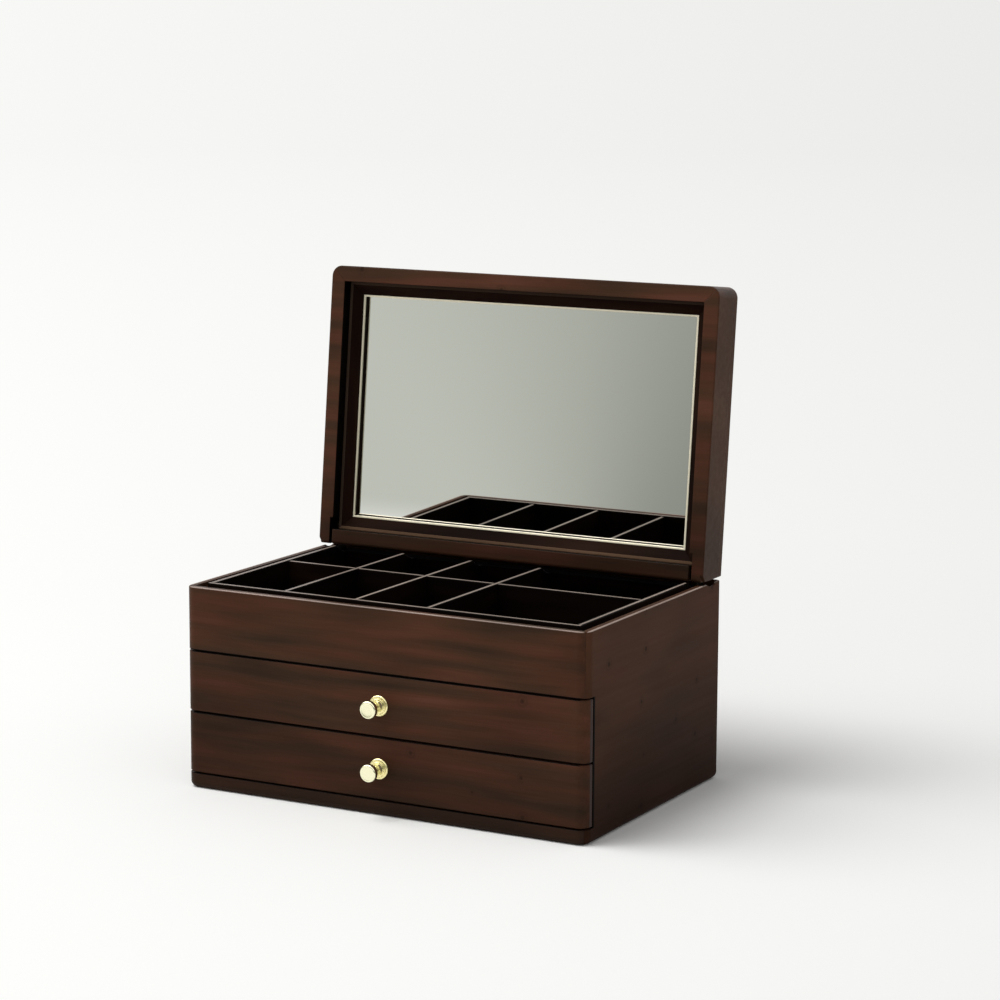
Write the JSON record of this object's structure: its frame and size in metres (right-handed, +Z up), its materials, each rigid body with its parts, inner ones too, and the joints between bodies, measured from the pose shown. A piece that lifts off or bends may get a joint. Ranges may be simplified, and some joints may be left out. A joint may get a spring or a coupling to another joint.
{
  "type": "vanity jewellery box",
  "caption": "Dark stained wooden vanity box: drawers with round brass knobs under a divided tray, and a hinged lid with a framed mirror inside.",
  "frame": {"origin": "centre of the face that the case stands on", "axes": "+Z up, -Y the way the drawers open, +X to the right of someone facing the drawers"},
  "size_m": [0.28, 0.22, 0.3131],
  "materials": {
    "stained_wood_x": "stained and lacquered, semi gloss",
    "stained_wood_y": "stained and lacquered, semi gloss",
    "stained_wood_stile": "stained and lacquered, semi gloss",
    "moulding_wood": "stained and lacquered, gloss",
    "tray_wood": "stained, lacquered top edges",
    "drawer_wood": "stained, waxed",
    "board": "stained plywood",
    "felt": "short pile felt",
    "brass": "polished and lacquered",
    "hinge_brass": "turned",
    "steel": "bright",
    "mirror": "silvered glass"
  },
  "bodies": {
    "case": {"back_panel": "stained_wood_x", "base_front_rail": "stained_wood_x", "bottom_board": "board", "divider_board": "board", "drawer_runners": "board", "drawer_stops": "board", "hinge_pin_left": "steel", "hinge_pin_right": "steel", "hinge_plate_left": "hinge_brass", "hinge_plate_right": "hinge_brass", "side_left": "stained_wood_y", "side_right": "stained_wood_y", "top_front_rail": "stained_wood_x", "tray_cross_divider_1": "tray_wood", "tray_cross_divider_2": "tray_wood", "tray_cross_divider_3": "tray_wood", "tray_floor": "board", "tray_lining": "felt", "tray_long_divider": "tray_wood", "tray_shelf": "board", "tray_wall_back": "tray_wood", "tray_wall_front": "tray_wood", "tray_wall_left": "tray_wood", "tray_wall_right": "tray_wood"},
    "lid": {"hinge_bush_left": "hinge_brass", "hinge_bush_right": "hinge_brass", "lid_moulding_back": "moulding_wood", "lid_moulding_front": "moulding_wood", "lid_moulding_left": "moulding_wood", "lid_moulding_right": "moulding_wood", "lid_rail_back": "stained_wood_x", "lid_rail_front": "stained_wood_x", "lid_rail_left": "stained_wood_stile", "lid_rail_right": "stained_wood_stile", "lid_top_panel": "stained_wood_x", "mirror": "mirror", "mirror_backing": "board", "mirror_fillet": "brass"},
    "drawer_upper": {"drawer_upper_back": "drawer_wood", "drawer_upper_bottom": "drawer_wood", "drawer_upper_front": "stained_wood_x", "drawer_upper_lining": "felt", "drawer_upper_side_left": "drawer_wood", "drawer_upper_side_right": "drawer_wood", "knob_upper": "brass", "knob_upper_rosette": "brass", "knob_upper_screw": "steel"},
    "drawer_lower": {"drawer_lower_back": "drawer_wood", "drawer_lower_bottom": "drawer_wood", "drawer_lower_front": "stained_wood_x", "drawer_lower_lining": "felt", "drawer_lower_side_left": "drawer_wood", "drawer_lower_side_right": "drawer_wood", "knob_lower": "brass", "knob_lower_rosette": "brass", "knob_lower_screw": "steel"}
  },
  "joints": [
    {"name": "lid_hinge", "type": "hinge", "parent": "case", "child": "lid", "pos_m": [0, 0.0795, 0.1413], "axis": [1, 0, 0], "range_deg": [0, 96]},
    {"name": "drawer_upper_slide", "type": "slide", "parent": "case", "child": "drawer_upper", "axis": [0, -1, 0], "range_m": [0, 0.12]},
    {"name": "drawer_lower_slide", "type": "slide", "parent": "case", "child": "drawer_lower", "axis": [0, -1, 0], "range_m": [0, 0.12]}
  ]
}
